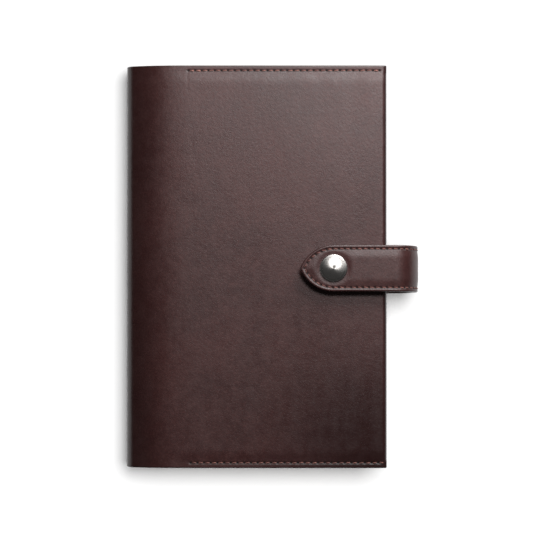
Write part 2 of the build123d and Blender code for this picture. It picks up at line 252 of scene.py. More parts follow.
class Paint:
    """A Principled material and short ways to add procedural nodes to it."""

    def __init__(self, name, **values):
        self.material = bpy.data.materials.new(name)
        self.material.use_nodes = True
        self.tree = self.material.node_tree
        self.shader = self.tree.nodes["Principled BSDF"]
        self.coords = self.tree.nodes.new("ShaderNodeTexCoord").outputs["Object"]
        for key, value in values.items():
            self.set(key.replace("_", " "), value)

    def plug(self, target, value):
        """Links an output to a socket, or sets the socket's value."""
        if isinstance(value, bpy.types.NodeSocket):
            self.tree.links.new(value, target)
        else:
            target.default_value = (*value, 1.0) if target.type == "RGBA" else value

    def set(self, socket, value):
        """Sets a socket of the shader, or links an output to it."""
        self.plug(self.shader.inputs[socket], value)

    def node(self, kind, inputs=None, **properties):
        """A node with its inputs set or linked."""
        made = self.tree.nodes.new("ShaderNode" + kind)
        for key, value in properties.items():
            setattr(made, key, value)
        for key, value in (inputs or {}).items():
            self.plug(made.inputs[key], value)
        return made

    def stretched(self, scale):
        """The object's coordinates, stretched along the axes."""
        return self.node("Mapping", {"Vector": self.coords, "Scale": scale}).outputs["Vector"]

    def noise(self, size, detail=2.0, roughness=0.5, vector=None, distortion=0.0):
        """Noise whose features are about size millimetres across."""
        inputs = {"Vector": vector or self.coords, "Scale": 1 / (size * MM)}
        inputs.update({"Detail": detail, "Roughness": roughness, "Distortion": distortion})
        return self.node("TexNoise", inputs).outputs["Fac"]

    def cells(self, size):
        """Distances in a cell pattern whose cells are about size millimetres across."""
        inputs = {"Vector": self.coords, "Scale": 1 / (size * MM)}
        return self.node("TexVoronoi", inputs).outputs["Distance"]

    def ramp(self, value, low, high, start=0.0, end=1.0):
        """A value stretched from low..high to start..end."""
        names = ("Value", "From Min", "From Max", "To Min", "To Max")
        inputs = dict(zip(names, (value, low, high, start, end)))
        return self.node("MapRange", inputs).outputs["Result"]

    def math(self, operation, a, b):
        """Two values combined."""
        return self.node("Math", {0: a, 1: b}, operation=operation).outputs[0]

    def mix(self, factor, a, b):
        """Two colours mixed."""
        return self.node("Mix", {0: factor, 6: a, 7: b}, data_type="RGBA").outputs[2]

    def tint(self, tone, value, low, high, colour, most=1.0):
        """A tone mixed towards a colour as a value goes from low to high."""
        return self.mix(self.ramp(value, low, high, 0.0, most), tone, colour)

    def attribute(self, name):
        """A painted value of the mesh."""
        return self.node("Attribute", attribute_name=name).outputs["Fac"]

    def bump(self, height, depth, normal=None):
        """A bump of depth millimetres, on top of another if one is given."""
        inputs = {"Height": height, "Distance": depth * MM, "Strength": 1.0}
        if normal:
            inputs["Normal"] = normal
        return self.node("Bump", inputs).outputs["Normal"]


def grain_leather(name, deep, middle, worn):
    """Smooth dyed leather: mottled dye, fine pores, faint drag marks and a satin finish, with painted shade
    and burnished edges mixed in from the mesh.
    """
    paint = Paint(name, IOR=1.5)
    clouds = paint.noise(38, detail=3.0, roughness=0.6, distortion=0.4)
    mottle = paint.noise(5.5, detail=4.0, roughness=0.65)
    speck = paint.noise(1.1, detail=3.0, roughness=0.7)
    drag = paint.noise(9, detail=5.0, roughness=0.7, vector=paint.stretched((1.0, 0.22, 1.0)))
    tone = paint.tint(deep, clouds, 0.35, 0.65, middle)
    tone = paint.tint(tone, mottle, 0.4, 0.75, worn, 0.4)
    tone = paint.tint(tone, speck, 0.46, 0.62, deep, 0.55)
    tone = paint.tint(tone, speck, 0.46, 0.36, worn, 0.5)
    rough = paint.ramp(drag, 0.3, 0.7, 0.37, 0.45)
    rough = paint.math("ADD", rough, paint.ramp(mottle, 0.3, 0.7, -0.03, 0.05))
    # Near-black painted shade for the stitch holes and seam grooves.
    hole = (0.003, 0.0012, 0.0012)
    # From the mesh: painted shade on the spine, the fold and the strap's loop with a darkening towards one
    # corner; the edges' own burnished colour; painted shade in stitch holes and seam grooves.
    marks = (("painted_shade_and_darkening", scaled(deep, 0.38), -0.14), ("burnish", scaled(deep, 0.42), -0.1), ("painted_shade", hole, 0.5))
    for key, colour, change in marks:
        share = paint.attribute(key)
        tone = paint.mix(share, tone, colour)
        rough = paint.math("ADD", rough, paint.math("MULTIPLY", share, change))
    paint.set("Base Color", tone)
    paint.set("Roughness", rough)
    pores = paint.ramp(paint.cells(0.55), 0.05, 0.45)
    wrinkle = paint.noise(1.7, detail=5.0, roughness=0.7)
    normal = paint.bump(pores, 0.025)
    normal = paint.bump(wrinkle, 0.085, normal)
    paint.set("Normal", paint.bump(drag, 0.06, normal))
    return paint.material


def flesh_leather(name, colour, pale):
    """The undyed-looking inner side: short nap and fibres."""
    paint = Paint(name, Roughness=0.92, Sheen_Weight=0.25, Sheen_Roughness=0.5)
    nap = paint.noise(1.1, detail=6.0, roughness=0.8)
    patches = paint.noise(14, detail=3.0)
    tone = paint.tint(colour, nap, 0.35, 0.7, pale)
    tone = paint.tint(tone, patches, 0.4, 0.7, colour, 0.5)
    paint.set("Base Color", tone)
    fibres = paint.noise(0.5, detail=4.0, roughness=0.8, vector=paint.stretched((1.0, 0.5, 1.0)))
    paint.set("Normal", paint.bump(fibres, 0.12))
    return paint.material


def edge_paint(name, colour):
    """Burnished, waxed leather edge with a faint layered line along it."""
    paint = Paint(name, Coat_Weight=0.15, Coat_Roughness=0.3)
    layers = paint.noise(0.6, detail=3.0, vector=paint.stretched((0.15, 0.15, 1.0)))
    blotch = paint.noise(4, detail=3.0)
    tone = paint.tint(colour, blotch, 0.35, 0.7, scaled(colour, 1.5))
    tone = paint.tint(tone, layers, 0.5, 0.7, scaled(colour, 0.5), 0.6)
    paint.set("Base Color", tone)
    paint.set("Roughness", paint.ramp(blotch, 0.3, 0.7, 0.34, 0.5))
    paint.set("Normal", paint.bump(layers, 0.05))
    return paint.material


def thread(name, colour, dark):
    """Waxed polyester thread: fine fibres and dye variation."""
    paint = Paint(name, Roughness=0.68, Sheen_Weight=0.1, Sheen_Roughness=0.4)
    fibres = paint.noise(0.12, detail=3.0, roughness=0.7)
    dye = paint.noise(2.5, detail=2.0)
    tone = paint.tint(dark, dye, 0.35, 0.65, colour)
    tone = paint.tint(tone, fibres, 0.45, 0.7, dark, 0.5)
    paint.set("Base Color", tone)
    paint.set("Normal", paint.bump(fibres, 0.03))
    return paint.material


def nickel(name, colour, rough, turned):
    """Antique nickel: warm grey, faintly stained, with turning marks round the axis."""
    paint = Paint(name, Metallic=1.0, Anisotropic=turned)
    stain = paint.noise(3.5, detail=3.0, roughness=0.5)
    wear = paint.noise(0.5, detail=2.0)
    dark = scaled(colour, 0.75)
    tone = paint.tint(colour, stain, 0.4, 0.8, dark, 0.35)
    tone = paint.tint(tone, wear, 0.55, 0.8, dark, 0.2)
    # Painted shade from the mesh: the cap's fine line and its rim.
    tone = paint.mix(paint.attribute("painted_shade"), tone, scaled(colour, 0.12))
    paint.set("Base Color", tone)
    paint.set("Roughness", paint.ramp(wear, 0.3, 0.7, rough, rough + 0.05))
    if turned:
        tangent = paint.node("Tangent", direction_type="RADIAL", axis="Z")
        paint.set("Tangent", tangent.outputs["Tangent"])
    return paint.material


def book_cloth(name, colour):
    """Woven book cloth: a fine plain weave with slubs."""
    paint = Paint(name, Roughness=0.82, Sheen_Weight=0.2)
    threads = []
    for scale, direction in (((1.0, 0.0, 1.0), "DIAGONAL"), ((0.0, 1.0, 0.0), "Y")):
        inputs = {"Scale": 1 / (0.9 * MM), "Distortion": 0.4, "Detail": 1.0}
        inputs["Vector"] = paint.stretched(scale)
        threads.append(paint.node("TexWave", inputs, bands_direction=direction).outputs["Fac"])
    weave = paint.math("MULTIPLY", *threads)
    slub = paint.noise(1.6, detail=3.0, vector=paint.stretched((1.0, 0.15, 1.0)))
    tone = paint.tint(colour, slub, 0.35, 0.7, scaled(colour, 1.8))
    paint.set("Base Color", paint.mix(weave, scaled(colour, 0.6), tone))
    paint.set("Normal", paint.bump(weave, 0.08))
    return paint.material


def paper(name, colour, shade, lines):
    """Uncoated paper: soft fibre mottling, with leaf edges as darker lines of painted shade across Z if
    asked.
    """
    paint = Paint(name, Roughness=0.9)
    cloud = paint.noise(11, detail=4.0, roughness=0.6)
    fibre = paint.noise(0.7, detail=4.0, vector=paint.stretched((1.0, 0.35, 1.0)))
    tone = paint.tint(colour, cloud, 0.35, 0.7, shade, 0.18)
    height = fibre
    if lines:
        leaves = paint.noise(0.16, detail=2.0, vector=paint.stretched((0.02, 0.02, 1.0)))
        # Painted shade between the leaves: darker lines across Z.
        tone = paint.tint(tone, leaves, 0.45, 0.62, shade, 0.8)
        height = leaves
    paint.set("Base Color", paint.tint(tone, fibre, 0.5, 0.8, shade, 0.3))
    paint.set("Normal", paint.bump(height, 0.03))
    return paint.material


DEEP = (0.030, 0.0082, 0.0078)
BROWN = (0.046, 0.0135, 0.0125)
WORN = (0.066, 0.0225, 0.0205)
COVER_GRAIN = grain_leather("cover_grain", DEEP, BROWN, WORN)
STRAP_GRAIN = grain_leather("strap_grain", DEEP, BROWN, WORN)
FLESH = flesh_leather("leather_flesh_side", (0.030, 0.0125, 0.010), (0.060, 0.028, 0.022))
LINING = grain_leather("strap_lining", (0.028, 0.009, 0.008), (0.040, 0.014, 0.012), WORN)
EDGE = edge_paint("edge_paint", (0.018, 0.0055, 0.0052))
THREAD = thread("waxed_thread", (0.20, 0.076, 0.058), (0.085, 0.026, 0.021))
NICKEL = nickel("antique_nickel", (0.58, 0.555, 0.53), 0.27, 0.68)
DARK_NICKEL = nickel("antique_nickel_inner", (0.40, 0.37, 0.34), 0.3, 0.4)
STEEL = nickel("spring_steel", (0.55, 0.55, 0.56), 0.2, 0.0)
CLOTH = book_cloth("book_cloth", (0.012, 0.012, 0.013))
CREAM, CREAM_SHADE = (0.70, 0.66, 0.56), (0.55, 0.50, 0.40)
PAGE = paper("page_paper", CREAM, CREAM_SHADE, False)
PAGE_EDGES = paper("page_edges", CREAM, CREAM_SHADE, True)
ENDPAPER = paper("endpaper", (0.72, 0.68, 0.58), (0.60, 0.55, 0.45), False)

# The leather wrap: one half from the sleeve's free edge to the middle of the spine
FOLD_AT = FOLD_X - SLEEVE_X
PANEL_AT = FOLD_AT + FOLD_RADIUS * pi
CURVE_AT = PANEL_AT + FOLD_X - FLAT_X
WRAP = (
    (SLEEVE_X, THICKNESS - PANEL),
    0,
    [
        (FOLD_AT, 0),
        arc_step(FOLD_RADIUS, 180),
        (FOLD_X - FLAT_X, 0),
        arc_step(CURVE_RADIUS, CURVE_ANGLE),
        arc_step(SPINE_RADIUS, 90 - CURVE_ANGLE),
    ],
)
SPINE_AT = CURVE_AT + WRAP[2][3][0]
WRAP_END = sum(length for length, _ in WRAP[2])
COVERS = ((False, "front"), (True, "back"))
EDGE_ROUND = 0.55
END_ROUND = 0.6
BURNISH_REACH = 0.9
SLIT_LOW_Y = ROOT_Y - STRAP_HALF - 0.25
SLIT_HIGH_Y = ROOT_Y + STRAP_HALF + 0.25
SLIT_FROM = FOLD_AT + FOLD_RADIUS * radians(180 - 122)
SLIT_TO = FOLD_AT + FOLD_RADIUS * radians(180 - 48)
ANCHOR_LOW_X, ANCHOR_HIGH_X = 21.35, 54.75
ANCHOR_HALF = STRAP_HALF - STRAP_INSET


def rim_steps(radius):
    """Distances in from a rounded edge at equal turns round it."""
    return [radius * (1 - cos(radians(turn))) for turn in (0, 22.5, 45, 67.5, 90)]


def rounding(distance, radius):
    """How far a rounded edge has dropped at a distance in from it."""
    if distance >= radius:
        return 0.0
    return radius - sqrt(max(0.0, radius**2 - (radius - distance) ** 2))


def wrap_rows(extra):
    """The y of the grid's rows, from the tail edge to the head edge."""
    half = COVER_HEIGHT / 2
    ins = rim_steps(EDGE_ROUND) + spaced(0.8, 4.6, 0.22) + [4.6, 5.1, 5.7, 6.5, 7.5, 9, 11, 14, 18]
    rows = {round(side * (half - inset), 4) for inset in ins for side in (1, -1)}
    rows |= {round(y, 4) for y in spaced(-half + 22, half - 21.9, 3.6)}
    rows |= {round(y, 4) for y in extra}
    return sorted(rows)


def wrap_stations(turned):
    """The distances along the wrap of the grid's columns, coarser on the back half."""
    sleeve_step, panel_step = (1.0, 0.55) if turned else (0.7, 0.46)
    ends = rim_steps(END_ROUND)[:-1]
    columns = ends + spaced(END_ROUND, FOLD_AT, sleeve_step)
    columns += spaced(FOLD_AT, SLIT_FROM, 0.6) + spaced(SLIT_FROM, SLIT_TO, 0.6)
    columns += spaced(SLIT_TO, PANEL_AT, 0.6) + spaced(PANEL_AT, CURVE_AT, panel_step)
    columns += spaced(CURVE_AT, SPINE_AT, 1.2) + spaced(SPINE_AT, WRAP_END, 0.6)
    return columns + [WRAP_END]


def pinch(distance, x, y):
    """How far the seam pulls the panel down and the sleeve up, towards each other."""
    panel = smooth(abs(y), SEAM_Y - 6.5, SEAM_Y)
    sleeve = smooth(abs(y), SEAM_Y - 2.2, SEAM_Y)
    if distance < FOLD_AT:
        return SLEEVE_RISE * sleeve
    if distance < PANEL_AT:
        share = (1 - cos((distance - FOLD_AT) / FOLD_RADIUS)) / 2
        return SLEEVE_RISE * sleeve * (1 - share) - PANEL_DROP * panel * share
    return -PANEL_DROP * panel * smooth(x, SLEEVE_X - 16, SLEEVE_X + 4)


def hole_marks(distance, x, y):
    """(groove depth, dent depth, painted shade in holes and groove) that a seam leaves on the wrap's outer
    face.
    """
    _, first, pitch, count = SEAM_ROWS[0] if y > 0 else SEAM_ROWS[1]
    across = abs(y) - SEAM_Y
    if abs(across) > 2.2 or FOLD_AT < distance < PANEL_AT:
        return 0.0, 0.0, 0.0
    last = first + pitch * count
    inside = smooth(x, first - 1.2, first) * (1 - smooth(x, last, last + 1.2))
    along = x - first - pitch * min(count, max(0, round((x - first) / pitch)))
    dent = bell(along, 0.42) * bell(across, 0.42)
    dark = 1.4 * bell(along, 0.5) * bell(across, 0.5) + 0.25 * bell(across, 0.6) * inside
    return SEAM_GROOVE * bell(across, 0.7) * inside, HOLE_DENT * dent, dark


def ripple(x, y, turned):
    """The slight unevenness of a hide stretched over a board, with the back pressed flatter."""
    inset = COVER_HEIGHT / 2 - abs(y)
    strength = smooth(x, SPINE_X + 1, SPINE_X + 14) * (1 - smooth(x, FOLD_X - 9, FOLD_X))
    level = -0.06 * strength if turned else 0.0
    strength *= smooth(inset, 1.0, 9.0)
    seed, broad, small = (7.0, 0.07, 0.02) if turned else (0.0, 0.16, 0.035)
    broad *= noise.noise(Vector((x / 42 + seed, y / 55, 0.3)))
    small *= noise.noise(Vector((x / 13 + seed, y / 17, 4.1)))
    return level + strength * (broad + small)


def crease(x, y):
    """The short crease that runs in from each end of a seam over the sleeve's free edge."""
    reach = abs(y) - SEAM_Y
    wander = SLEEVE_X + 1.2 + 0.5 * sin(reach / 1.7) + 0.12 * reach
    length = smooth(reach, -15.0, -6.0) * (1 - smooth(reach, 0.0, 1.5))
    return 0.05 * bell(x - wander, 0.8) * length


def painted_shade_and_darkening(x, y):
    """How much darker the leather is painted: painted shade on the spine's curve and on the fore-edge fold,
    and a darkening towards the tail's corner at the fore-edge.
    """
    spine = 0.75 * smooth(-x, 50.0, 77.0)
    fold = 0.8 * smooth(x, FOLD_X + 0.4, FOLD_X + 1.8)
    corner = 0.75 * smooth(x, -25.0, 45.0) * smooth(-y, 20.0, 90.0)
    return spine + max(fold, corner)


def anchor_groove(x, y):
    """The groove under the box seam that holds the strap's end."""
    across = abs(y - ROOT_Y)
    sides = bell(across - ANCHOR_HALF, 0.5) * smooth(x, ANCHOR_LOW_X - 0.6, ANCHOR_LOW_X)
    sides *= 1 - smooth(x, ANCHOR_HIGH_X, ANCHOR_HIGH_X + 0.6)
    ends = bell(x - ANCHOR_LOW_X, 0.5) + bell(x - ANCHOR_HIGH_X, 0.5)
    ends *= 1 - smooth(across, ANCHOR_HALF, ANCHOR_HALF + 0.6)
    return 0.55 * min(1.0, sides + ends)


def wrap_point(distance, y, offset, turned):
    """A point of the wrap at an offset in from its outer face, pinched by the seams."""
    x, z = beside(WRAP, distance, offset)
    z += pinch(distance, x, y)
    return (x, y, THICKNESS - z if turned else z)


def inner_offset(distance, x, y, turned):
    """The offset of the wrap's inner face, with a skived bed for the strap's end."""
    inset = COVER_HEIGHT / 2 - abs(y)
    offset = LEATHER - max(rounding(inset, 0.3), rounding(distance, 0.4))
    if turned and distance > PANEL_AT:
        bed = smooth(x, TONGUE_X - 2.5, TONGUE_X - 0.5)
        bed *= 1 - smooth(abs(y - ROOT_Y), STRAP_HALF + 0.2, STRAP_HALF + 2.5)
        offset -= 0.45 * bed
    return offset


def wrap_section(distance, rows, turned):
    """The closed section of the wrap at a distance: (point, painted shade in holes and grooves, burnish,
    painted shade and darkening) each.
    """
    section = []
    x, _ = beside(WRAP, distance, 0)
    for inner in (False, True):
        for y in reversed(rows) if inner else rows:
            dark = burnish = 0.0
            if inner:
                offset = inner_offset(distance, x, y, turned)
            else:
                inset = COVER_HEIGHT / 2 - abs(y)
                groove, dent, dark = hole_marks(distance, x, y)
                offset = max(rounding(inset, EDGE_ROUND), rounding(distance, END_ROUND))
                offset += groove + dent
                if distance > PANEL_AT:
                    offset += crease(x, y) - ripple(x, y, turned)
                    offset += SLEEVE_STEP * (1 - smooth(x, SLEEVE_X - 7.0, SLEEVE_X + 1.5))
                    offset += anchor_groove(x, y) if turned else 0.0
                burnish = max(0.0, 1 - min(inset, distance) / BURNISH_REACH)
            deep = painted_shade_and_darkening(x, y) if distance > FOLD_AT else 0.0
            section.append((wrap_point(distance, y, offset, turned), min(1.0, dark), burnish, deep))
    return section


def make_wrap(name, turned):
    """One half of the leather wrap. The back half has the strap's slit in its fold."""
    extra = []
    if turned:
        extra = [SLIT_LOW_Y, SLIT_HIGH_Y]
        for middle in (ROOT_Y + ANCHOR_HALF, ROOT_Y - ANCHOR_HALF):
            extra += spaced(middle - 1.0, middle + 1.05, 0.25)
    rows = wrap_rows(extra)
    columns = wrap_stations(turned)
    corners, rings = [], []
    for distance in columns:
        section = wrap_section(distance, rows, turned)
        rings.append(list(range(len(corners), len(corners) + len(section))))
        corners += section
    count = len(rows)
    size = 2 * count
    faces, kinds = [], []

    def add(face, kind):
        faces.append(face[::-1] if turned else face)
        kinds.append(kind)

    def in_slit(column, row):
        middle = (columns[column] + columns[column + 1]) / 2
        y = (rows[row] + rows[row + 1]) / 2
        return turned and SLIT_FROM < middle < SLIT_TO and SLIT_LOW_Y < y < SLIT_HIGH_Y

    for c, (near, far) in enumerate(zip(rings, rings[1:])):
        for i, quad in enumerate(skin([near, far])):
            row = min(i, size - 2 - i)
            if row in (-1, count - 1):
                add(quad, 2)
            elif not in_slit(c, row):
                at_edge = COVER_HEIGHT / 2 - max(abs(rows[row]), abs(rows[row + 1])) < 0.12
                add(quad, 2 if at_edge else int(i >= count))
        for row in range(count - 1):
            for lip, beyond in ((row, row - 1), (row + 1, row + 1)):
                if in_slit(c, row) and not in_slit(c, beyond):
                    quad = (near[lip], far[lip], far[size - 1 - lip], near[size - 1 - lip])
                    add(quad if beyond > row else quad[::-1], 2)
    for quad in flipped(cap_quads(rings[0])) + cap_quads(rings[-1]):
        add(quad, 2)
    for c in range(1, len(columns) - 1):
        for row, quad in enumerate(cap_quads(rings[c])):
            before, after = in_slit(c - 1, row), in_slit(c, row)
            if before != after:
                add(quad[::-1] if before else quad, 2)
    return make_worked(name, corners, faces, [COVER_GRAIN, FLESH, EDGE], kinds)


def spine_bend(turned, start, end):
    """The bend between the spine and a cover. The back one is the front one turned over."""
    points = [(x, 0, THICKNESS - z if turned else z) for x, z in (start, end)]
    if turned:
        return ("back_cover", "spine", points[1], points[0])
    return ("spine", "front_cover", *points)


def make_covers():
    """Both halves of the leather wrap."""
    start = (SPINE_X + LEATHER, MIDDLE_Z + 0.3)
    end = (start[0] + 4.2, start[1] + 6.2)
    for turned, cover in COVERS:
        wrap = make_wrap(f"cover_leather_{cover}", turned)
        nodes = [f"{cover}_leather", "spine_leather"]
        place(wrap, nodes, bend=spine_bend(turned, start, end))


# The strap: a path from the hidden tongue round the loop to the tab's tip
STRAP = (
    (TONGUE_X, STRAP_START_Z),
    0,
    [(LOOP_X - TONGUE_X, 0), arc_step(LOOP_RADIUS, 180), (LOOP_X - TIP_X, 0)],
)
LOOP_FROM = LOOP_X - TONGUE_X
LOOP_TO = LOOP_FROM + LOOP_RADIUS * pi
TIP_CENTRE_Y = STRAP_HALF - TIP_ARC
POINT_X = TIP_X + TIP_LENGTH - sqrt((TIP_ARC - TIP_ROUNDING) ** 2 - TIP_CENTRE_Y**2)
STRAP_END = LOOP_TO + LOOP_X - POINT_X + TIP_ROUNDING
STRAP_CUTS = (LOOP_FROM + LOOP_RADIUS * pi / 4, LOOP_FROM + LOOP_RADIUS * 3 * pi / 4)
TAPER_AT = LOOP_TO + LOOP_X - TIP_X - TIP_LENGTH
POINT_AT = LOOP_TO + LOOP_X - POINT_X
SNAP_AT = LOOP_TO + LOOP_X - SNAP_X
# The direction in which the tip's side arc meets its rounding, along and across the strap
TIP_LEAN = (POINT_AT - TAPER_AT) / (TIP_ARC - TIP_ROUNDING)
TIP_RISE = -TIP_CENTRE_Y / (TIP_ARC - TIP_ROUNDING)
LINING_START = 42.0


def strap_half_width(distance):
    """Half the strap's width at a distance along it."""
    if distance <= TAPER_AT:
        return STRAP_HALF
    beyond = distance - POINT_AT
    if beyond > TIP_LEAN * TIP_ROUNDING:
        return sqrt(max(0.0, TIP_ROUNDING**2 - beyond**2))
    return sqrt(TIP_ARC**2 - (distance - TAPER_AT) ** 2) + TIP_CENTRE_Y


def strap_inset(distance, across):
    """How far in from the strap's outline a point lies."""
    across = abs(across)
    if distance <= TAPER_AT:
        return STRAP_HALF - across
    beyond = distance - POINT_AT
    if beyond > 0 and across * TIP_LEAN < beyond * TIP_RISE:
        return TIP_ROUNDING - hypot(beyond, across)
    return TIP_ARC - hypot(distance - TAPER_AT, across - TIP_CENTRE_Y)


def strap_holes():
    """The seam's holes along one side, as (distance, how far from the strap's middle)."""
    start = STRAP_SEAM_X - TONGUE_X
    radius = TIP_ARC - STRAP_INSET
    straight = TAPER_AT - start
    sweep = radius * acos(-TIP_CENTRE_Y / radius)
    count = round((straight + sweep) / STRAP_PITCH)
    holes = []
    for i in range(count + 1):
        along = (straight + sweep) * i / count
        if along <= straight:
            holes.append((start + along, STRAP_HALF - STRAP_INSET))
        else:
            angle = (along - straight) / radius
            holes.append((TAPER_AT + radius * sin(angle), TIP_CENTRE_Y + radius * cos(angle)))
    return holes


STRAP_HOLES = strap_holes()


def strap_marks(distance, across):
    """(dent depth, painted shade in the holes) of the strap's stitch holes."""
    nearest = min(hypot(distance - u, abs(across) - v) for u, v in STRAP_HOLES)
    return HOLE_DENT * bell(nearest, 0.45), 1.4 * bell(nearest, 0.55)


def strap_relief(distance, across, inset, lining):
    """How far the face is pressed in by the seam and the snap, less how far it is puffed out."""
    from_snap = hypot(distance - SNAP_AT, across)
    flat = smooth(from_snap, 7.4, 11.0)
    started = smooth(distance, STRAP_SEAM_X - TONGUE_X - 2, STRAP_SEAM_X - TONGUE_X)
    puff = (0.12 if lining else 0.34) * smooth(inset, STRAP_INSET + 0.4, STRAP_INSET + 4.5) * flat
    groove = SEAM_GROOVE * bell(inset - STRAP_INSET, 0.6) * started
    edge_rise = 0.1 * bell(inset - 0.85, 0.4)
    press = 0.14 * bell(from_snap - 7.8, 0.8)
    return groove + press - puff * started - edge_rise


def strap_point(distance, across, offset):
    """A point of the strap at an offset in from its outer face."""
    x, z = beside(STRAP, distance, offset)
    skew = STRAP_SKEW * (1 - smooth(distance, LOOP_FROM, LOOP_TO))
    return (x, STRAP_Y - skew + across, z)


def strap_shares():
    """The strap's rows, as signed distances from its middle at full width."""
    ins = [0, 0.06, 0.2, 0.42, 0.7, 0.95, 1.2, 1.45, 1.7, 1.9, 2.1, 2.3, 2.5, 2.75, 3.1, 3.6, 4.3]
    ins += [5.2, 6.3, 7.6, 9.0, 10.6]
    return [i - STRAP_HALF for i in ins] + [0.0] + [STRAP_HALF - i for i in reversed(ins)]


def strap_columns(low, high):
    """The distances of the strap's columns between two cuts."""
    columns = []
    if low < LOOP_FROM - 8:
        columns = spaced(low, LOOP_FROM - 8, 2.5)
        low = LOOP_FROM - 8
    near_tip = STRAP_END - 3
    columns += spaced(low, min(high, near_tip), 0.42)
    if high > near_tip:
        columns += [STRAP_END - 3 * (1 - i / 14) ** 2 for i in range(14)]
        high = STRAP_END - 0.012
    return columns + [high]


def make_strap_part(name, low, high, lining, materials):
    """One closed length of a strap layer, with rounded outer edges."""
    shares = strap_shares()
    columns = strap_columns(low, high)
    corners, rings = [], []
    for distance in columns:
        half = strap_half_width(distance)
        full = smooth(distance, LINING_START, LINING_START + 1.5)
        skived = 0.7 + (STRAP_LAYER - 0.7) * full
        rings.append([])
        for inner in (False, True):
            for share in reversed(shares) if inner else shares:
                across = share * half / STRAP_HALF
                inset = max(0.0, strap_inset(distance, across))
                painted_shade = 0.0
                if inner == lining:
                    dent, painted_shade = strap_marks(distance, across)
                    worked = strap_relief(distance, across, inset, lining) + dent
                    depth = (rounding(inset, 0.8 if lining else 0.6) + worked) * full
                    offset = 2 * STRAP_LAYER - depth if lining else depth
                else:
                    offset = skived if inner else STRAP_LAYER
                    offset += 0.02 if lining else -0.02
                point = strap_point(distance, across, offset)
                burnish = max(0.0, 1 - inset / 0.45) if full > 0.5 else 0.0
                # Painted shade, darker towards the loop's outward end.
                deep = 0.45 * smooth(point[0], LOOP_X + 1, LOOP_X + 9)
                rings[-1].append(len(corners))
                corners.append((point, min(1.0, painted_shade), burnish, deep))
    count = len(shares) - 1
    outward, inward = (2, 0) if lining else (0, 2)
    kinds = ([outward] * count + [1] + [inward] * count + [1]) * (len(columns) - 1)
    ends = flipped(cap_quads(rings[0])) + cap_quads(rings[-1])
    kinds += [1] * len(ends)
    return make_worked(name, corners, skin(rings) + ends, materials, kinds)


STRAP_BENDS = (
    ("back_cover", "strap_lower", (EDGE_X, 0, 1.1), (EDGE_X + 4, 0, 1.1)),
    ("strap_lower", "strap_upper", (LOOP_X + 13, 0, 7.2), (LOOP_X + 13, 0, 21.7)),
    ("strap_upper", "strap_tab", (LOOP_X + 7.2, 0, 27.8), (LOOP_X - 7.2, 0, 27.8)),
)
STRAP_PARTS = (("root", "base", "lower"), ("loop", "lower", "upper"), ("tab", "upper", "tab"))


def make_strap():
    """Both layers of the strap, each in three lengths."""
    for layer, material in (("leather", STRAP_GRAIN), ("lining", LINING)):
        lining = layer == "lining"
        bounds = (LINING_START if lining else 0.0, *STRAP_CUTS, STRAP_END)
        for parts, low, high, bend in zip(STRAP_PARTS, bounds, bounds[1:], STRAP_BENDS):
            name = f"strap_{layer}_{parts[0]}"
            obj = make_strap_part(name, low, high, lining, [material, EDGE, FLESH])
            nodes = [f"strap_{part}_{layer}" for part in parts[1:]]
            place(obj, nodes, bend=bend)


# Stitches: short twisted threads that dive into a hole at each end
def add_stitch(points, faces, ends, lay, lift, slant):
    """One stitch between two holes. lay(u, v, height) gives a point above the leather."""
    start, end = Vector(ends[0]), Vector(ends[1])
    tilt = (end - start).orthogonal().normalized() * slant
    sections, sides = 10, 8
    line = []
    for k in range(sections + 1):
        lean = 2 * k / sections - 1
        u, v = start.lerp(end, 0.5 + 0.41 * lean) + tilt * lean
        line.append(Vector(lay(u, v, lift - 0.75 * abs(lean) ** 2.4)))
    up = (Vector(lay(*start, 1.0)) - Vector(lay(*start, 0.0))).normalized()
    base = len(points)
    for k, centre in enumerate(line):
        ahead = (line[min(k + 1, sections)] - line[max(k - 1, 0)]).normalized()
        across = ahead.cross(up).normalized()
        over = across.cross(ahead)
        taper = 1.0 if 0 < k < sections else 0.6
        for s in range(sides):
            angle = 2 * pi * s / sides
            lobe = 1 + 0.16 * cos(2 * (angle - 5.5 * k / sections))
            radius = THREAD_RADIUS * taper * lobe
            ring_point = centre + across * (radius * cos(angle))
            ring_point += over * (radius * 0.85 * sin(angle))
            points.append(tuple(ring_point))
    rings = [list(range(base + k * sides, base + (k + 1) * sides)) for k in range(sections + 1)]
    faces += [*flipped(skin(rings)), tuple(rings[0]), tuple(reversed(rings[-1]))]


def make_cover_seam(turned, cover, row, end):
    """One seam: its stitches on the panel's outer face and on the sleeve's."""
    name = f"seam_{cover}_{end}"
    side, first, pitch, count = row
    rng = random.Random(sum(map(ord, name)))
    points, faces = [], []

    def on_panel(u, v, height):
        return wrap_point(CURVE_AT - (u - FLAT_X), v, SEAM_GROOVE - height, turned)

    def on_sleeve(u, v, height):
        return wrap_point(u - SLEEVE_X, v, SEAM_GROOVE - height, turned)

    for lay, lift in ((on_panel, 0.16 if not turned else 0.02), (on_sleeve, 0.16)):
        for i in range(count):
            low = first + i * pitch
            high = low + pitch
            y = side * SEAM_Y + rng.uniform(-0.05, 0.05)
            slant = 0.24 + rng.uniform(-0.06, 0.06)
            add_stitch(points, faces, ((low, y), (high, y)), lay, lift, slant)
            if i < 2 or i == count - 1:
                shifted = ((low + 0.35, y - side * 0.22), (high - 0.25, y - side * 0.1))
                add_stitch(points, faces, shifted, lay, lift + 0.12, -slant)
    seam = make_object(name, points, faces, [THREAD])
    place(seam, [f"{cover}_{end}_stitches"], body=f"{cover}_cover")


def on_strap(u, v, height):
    """A point above the strap's outer face."""
    return strap_point(u, v, SEAM_GROOVE - height)


def under_strap(u, v, height):
    """A point above the lining's face."""
    return strap_point(u, v, 2 * STRAP_LAYER - SEAM_GROOVE + height)


